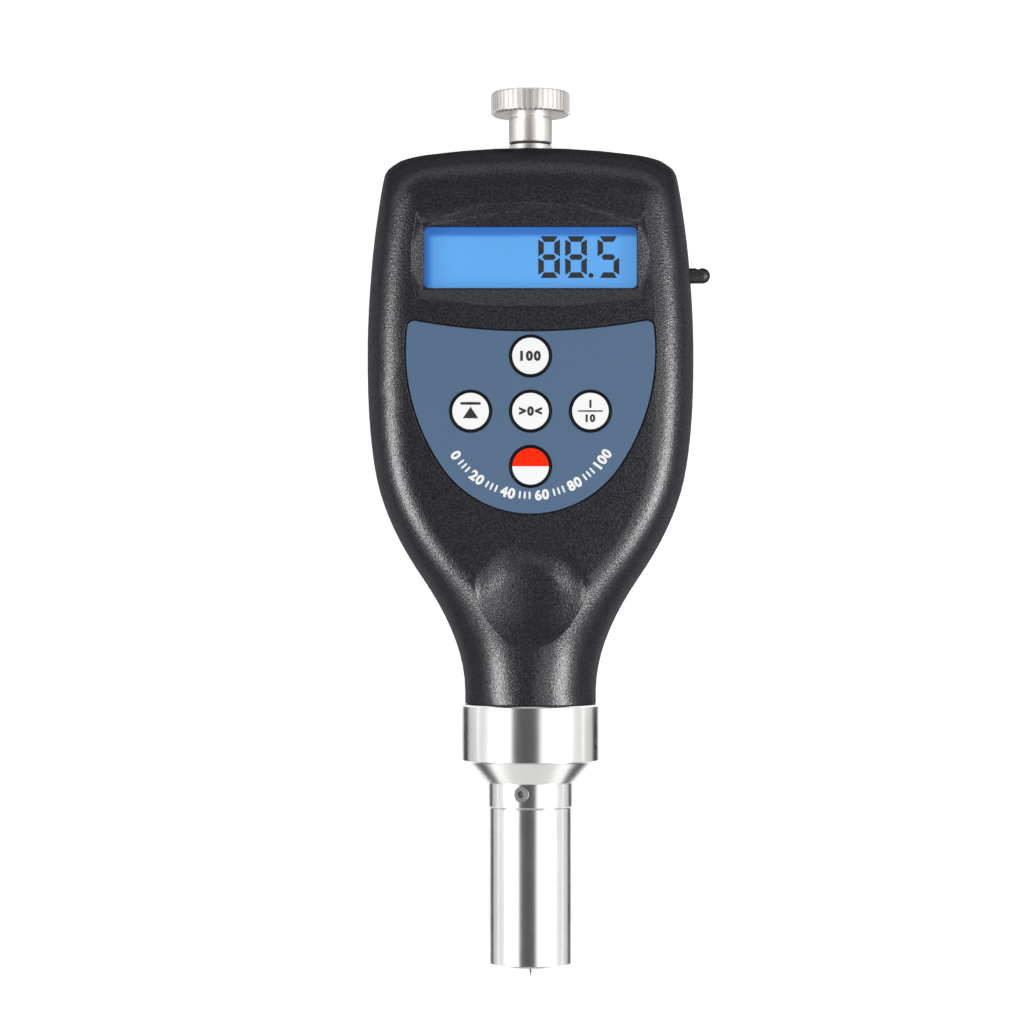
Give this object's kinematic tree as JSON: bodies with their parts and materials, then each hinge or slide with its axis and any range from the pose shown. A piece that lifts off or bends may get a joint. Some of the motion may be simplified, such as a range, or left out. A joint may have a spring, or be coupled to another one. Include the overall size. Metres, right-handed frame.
{
  "type": "digital durometer",
  "caption": "Handheld digital hardness tester: moulded case with display, round keys and thumb dish, steel collar, presser foot with sprung needle, and a knurled top knob.",
  "frame": {"origin": "on the flat back of the case, under the lower part of the keypad, where it lies on a table", "axes": "+Z out of the face with the keys, +Y along the probe axis towards the knob, +X to the right as seen from the face"},
  "size_m": [0.0683, 0.1765, 0.0291],
  "materials": {
    "case_plastic": "fine moulded grain",
    "screw_steel": "zinc plated",
    "window_clear": "clear",
    "display_blue": "backlit panel",
    "white_plastic": "plain",
    "panel_film": "printed film",
    "key_white": "satin",
    "key_red": "satin",
    "board_green": "solder mask",
    "chip_black": "moulded",
    "cell_jacket": "wrapped can",
    "plug_rubber": "matte",
    "probe_steel": "fine turned, plated",
    "screw_dark": "blackened",
    "needle_steel": "hardened, ground",
    "turned_brass": "turned",
    "winding_copper": "enamelled wire",
    "core_ferrite": "sintered",
    "knob_nickel": "satin nickel, knurled"
  },
  "bodies": {
    "case": {"front_cover": "case_plastic", "rear_cover": "case_plastic", "case_screws": "screw_steel", "display_window": "window_clear", "display_glass": "display_blue", "backlight": "white_plastic", "keypad_panel": "panel_film", "switch_domes": "screw_steel", "main_board": "board_green", "board_screws": "screw_steel", "processor": "chip_black", "cell_1": "cell_jacket", "cell_2": "cell_jacket", "cell_3": "cell_jacket", "cell_4": "cell_jacket", "contact_springs": "screw_steel", "contact_plates": "screw_steel", "data_jack": "chip_black", "collar": "probe_steel", "presser_foot": "probe_steel", "lock_screw": "screw_dark", "load_spring": "needle_steel", "guide_bush": "turned_brass", "load_adjuster": "turned_brass", "probe_nut": "turned_brass", "coil_bobbin": "white_plastic", "coil_winding": "winding_copper", "sensor_lead": "plug_rubber", "top_bush": "knob_nickel", "bush_nut": "screw_steel"},
    "door": {"battery_door": "case_plastic"},
    "top_key": {"key_top": "key_white"},
    "left_key": {"key_left": "key_white"},
    "middle_key": {"key_middle": "key_white"},
    "right_key": {"key_right": "key_white"},
    "power_key": {"key_power": "key_red"},
    "plug": {"jack_plug": "plug_rubber"},
    "indenter": {"needle": "needle_steel", "plunger": "needle_steel", "sensor_core": "core_ferrite"},
    "washer": {"knob_washer": "plug_rubber"},
    "knob": {"top_knob": "knob_nickel"}
  },
  "joints": [
    {"name": "indenter_travel", "type": "slide", "parent": "case", "child": "indenter", "axis": [0, 1, 0], "range_m": [0, 0.0025], "stiffness_N_per_m": 17780, "deforming": ["load_spring"]},
    {"name": "top_key_press", "type": "slide", "parent": "case", "child": "top_key", "axis": [0, 0, -1], "range_m": [0, 0.0004], "stiffness_N_per_m": 2500},
    {"name": "left_key_press", "type": "slide", "parent": "case", "child": "left_key", "axis": [0, 0, -1], "range_m": [0, 0.0004], "stiffness_N_per_m": 2500},
    {"name": "middle_key_press", "type": "slide", "parent": "case", "child": "middle_key", "axis": [0, 0, -1], "range_m": [0, 0.0004], "stiffness_N_per_m": 2500},
    {"name": "right_key_press", "type": "slide", "parent": "case", "child": "right_key", "axis": [0, 0, -1], "range_m": [0, 0.0004], "stiffness_N_per_m": 2500},
    {"name": "power_key_press", "type": "slide", "parent": "case", "child": "power_key", "axis": [0, 0, -1], "range_m": [0, 0.0004], "stiffness_N_per_m": 2500},
    {"name": "door_slide", "type": "slide", "parent": "case", "child": "door", "axis": [0, 1, 0], "range_m": [0, 0.062]},
    {"name": "plug_pull", "type": "slide", "parent": "case", "child": "plug", "axis": [1, 0, 0], "range_m": [0, 0.008]},
    {"name": "knob_rise", "type": "slide", "parent": "case", "child": "washer", "axis": [0, 1, 0], "range_m": [0, 0.0041]},
    {"name": "knob_turn", "type": "hinge", "parent": "washer", "child": "knob", "pos_m": [0, 0.0739, 0.0148], "axis": [0, 1, 0], "range_deg": [0, 1800]}
  ],
  "couplings": [
    {"joint": "knob_rise", "follows": "knob_turn", "m_per_rad": 0.00012732}
  ]
}
